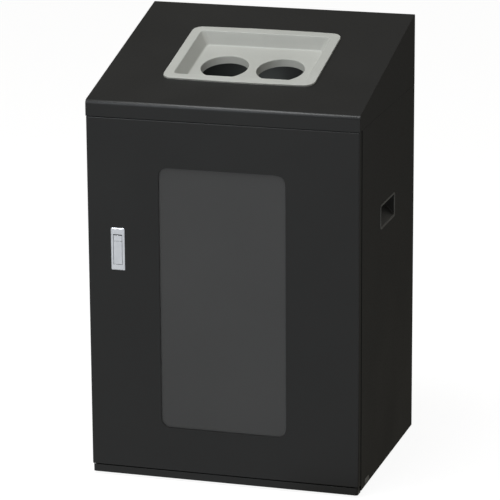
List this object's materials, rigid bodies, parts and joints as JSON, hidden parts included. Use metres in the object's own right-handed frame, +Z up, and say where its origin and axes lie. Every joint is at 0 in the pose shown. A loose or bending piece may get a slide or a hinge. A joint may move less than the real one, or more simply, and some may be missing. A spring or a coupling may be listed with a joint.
{
  "type": "recycling bin",
  "caption": "Floor-standing recycling cabinet with a sloped hood, round inlets in a recessed tray, a hinged windowed front door with a flush latch, and an inner container.",
  "frame": {"origin": "middle of the footprint, on the floor", "axes": "+X to the right as seen from the front, +Y towards the back, +Z up; the door faces -Y"},
  "size_m": [0.502, 0.4, 0.7991],
  "materials": {
    "black_powder_coat": "fine satin powder coat, near black",
    "grey_zinc": "zinc-plated steel, dull bright",
    "pale_grey_plastic": "matte light grey moulded plastic",
    "smoked_plastic": "smoked translucent plastic, satin",
    "black_rubber": "black rubber",
    "black_plastic": "black moulded plastic, fine texture",
    "handle_plastic": "dark grey moulded plastic, fine texture",
    "bush_plastic": "black bearing plastic, smooth",
    "silver_plate": "satin silver plated die casting",
    "container_grey": "matte grey moulded plastic",
    "plug_grey": "grey moulded plastic",
    "spring_steel": "bright spring wire"
  },
  "bodies": {
    "cabinet": {"base_pan": "black_powder_coat", "side_panel_left": "black_powder_coat", "side_panel_right": "black_powder_coat", "back_panel": "black_powder_coat", "header_rail": "black_powder_coat", "hood": "black_powder_coat", "hood_screws": "grey_zinc", "hood_nuts": "grey_zinc", "inlet_tray": "pale_grey_plastic", "tray_screws": "grey_zinc", "carry_handle_left": "handle_plastic", "carry_handle_right": "handle_plastic", "side_slot_plugs": "plug_grey", "hinge_bracket_top": "grey_zinc", "hinge_bracket_bottom": "grey_zinc", "hinge_pin_top": "grey_zinc", "hinge_pin_bottom": "grey_zinc", "hinge_thrust_washer": "bush_plastic", "magnetic_catches": "black_plastic", "catch_magnets": "grey_zinc", "door_bumpers": "black_rubber", "foot_nut_plates": "grey_zinc", "container_rails": "grey_zinc", "inner_container": "container_grey"},
    "door": {"door_skin": "black_powder_coat", "door_inner_panel": "black_powder_coat", "door_bushes": "bush_plastic", "door_strike_plates": "grey_zinc", "window_pane": "smoked_plastic", "window_gasket": "black_rubber", "window_retaining_frame": "black_powder_coat", "window_studs": "grey_zinc", "window_nuts": "grey_zinc", "latch_housing": "silver_plate", "latch_lever_pin": "grey_zinc", "latch_lever_spring": "spring_steel", "latch_button_spring": "spring_steel", "latch_fixing_screws": "grey_zinc"},
    "lever": {"latch_lever": "silver_plate"},
    "button": {"latch_button": "silver_plate"},
    "foot_front_left": {"foot_pad_front_left": "black_rubber", "foot_stud_front_left": "grey_zinc"},
    "foot_front_right": {"foot_pad_front_right": "black_rubber", "foot_stud_front_right": "grey_zinc"},
    "foot_back_left": {"foot_pad_back_left": "black_rubber", "foot_stud_back_left": "grey_zinc"},
    "foot_back_right": {"foot_pad_back_right": "black_rubber", "foot_stud_back_right": "grey_zinc"}
  },
  "joints": [
    {"name": "door_hinge", "type": "hinge", "parent": "cabinet", "child": "door", "pos_m": [0.243, -0.1885, 0.341], "axis": [0, 0, 1], "range_deg": [0, 100]},
    {"name": "latch_lever_pivot", "type": "hinge", "parent": "door", "child": "lever", "pos_m": [-0.1936, -0.1954, 0.405], "axis": [1, 0, 0], "range_deg": [0, 35], "stiffness_Nm_per_rad": 0.06, "springref_deg": -17.19},
    {"name": "latch_button_press", "type": "slide", "parent": "door", "child": "button", "axis": [0, 1, 0], "range_m": [0, 0.003], "stiffness_N_per_m": 900, "springref_m": -0.001, "deforming": ["latch_button_spring"]},
    {"name": "foot_front_left_screw", "type": "slide", "parent": "cabinet", "child": "foot_front_left", "axis": [0, 0, -1], "range_m": [0, 0.008]},
    {"name": "foot_front_right_screw", "type": "slide", "parent": "cabinet", "child": "foot_front_right", "axis": [0, 0, -1], "range_m": [0, 0.008]},
    {"name": "foot_back_left_screw", "type": "slide", "parent": "cabinet", "child": "foot_back_left", "axis": [0, 0, -1], "range_m": [0, 0.008]},
    {"name": "foot_back_right_screw", "type": "slide", "parent": "cabinet", "child": "foot_back_right", "axis": [0, 0, -1], "range_m": [0, 0.008]}
  ]
}
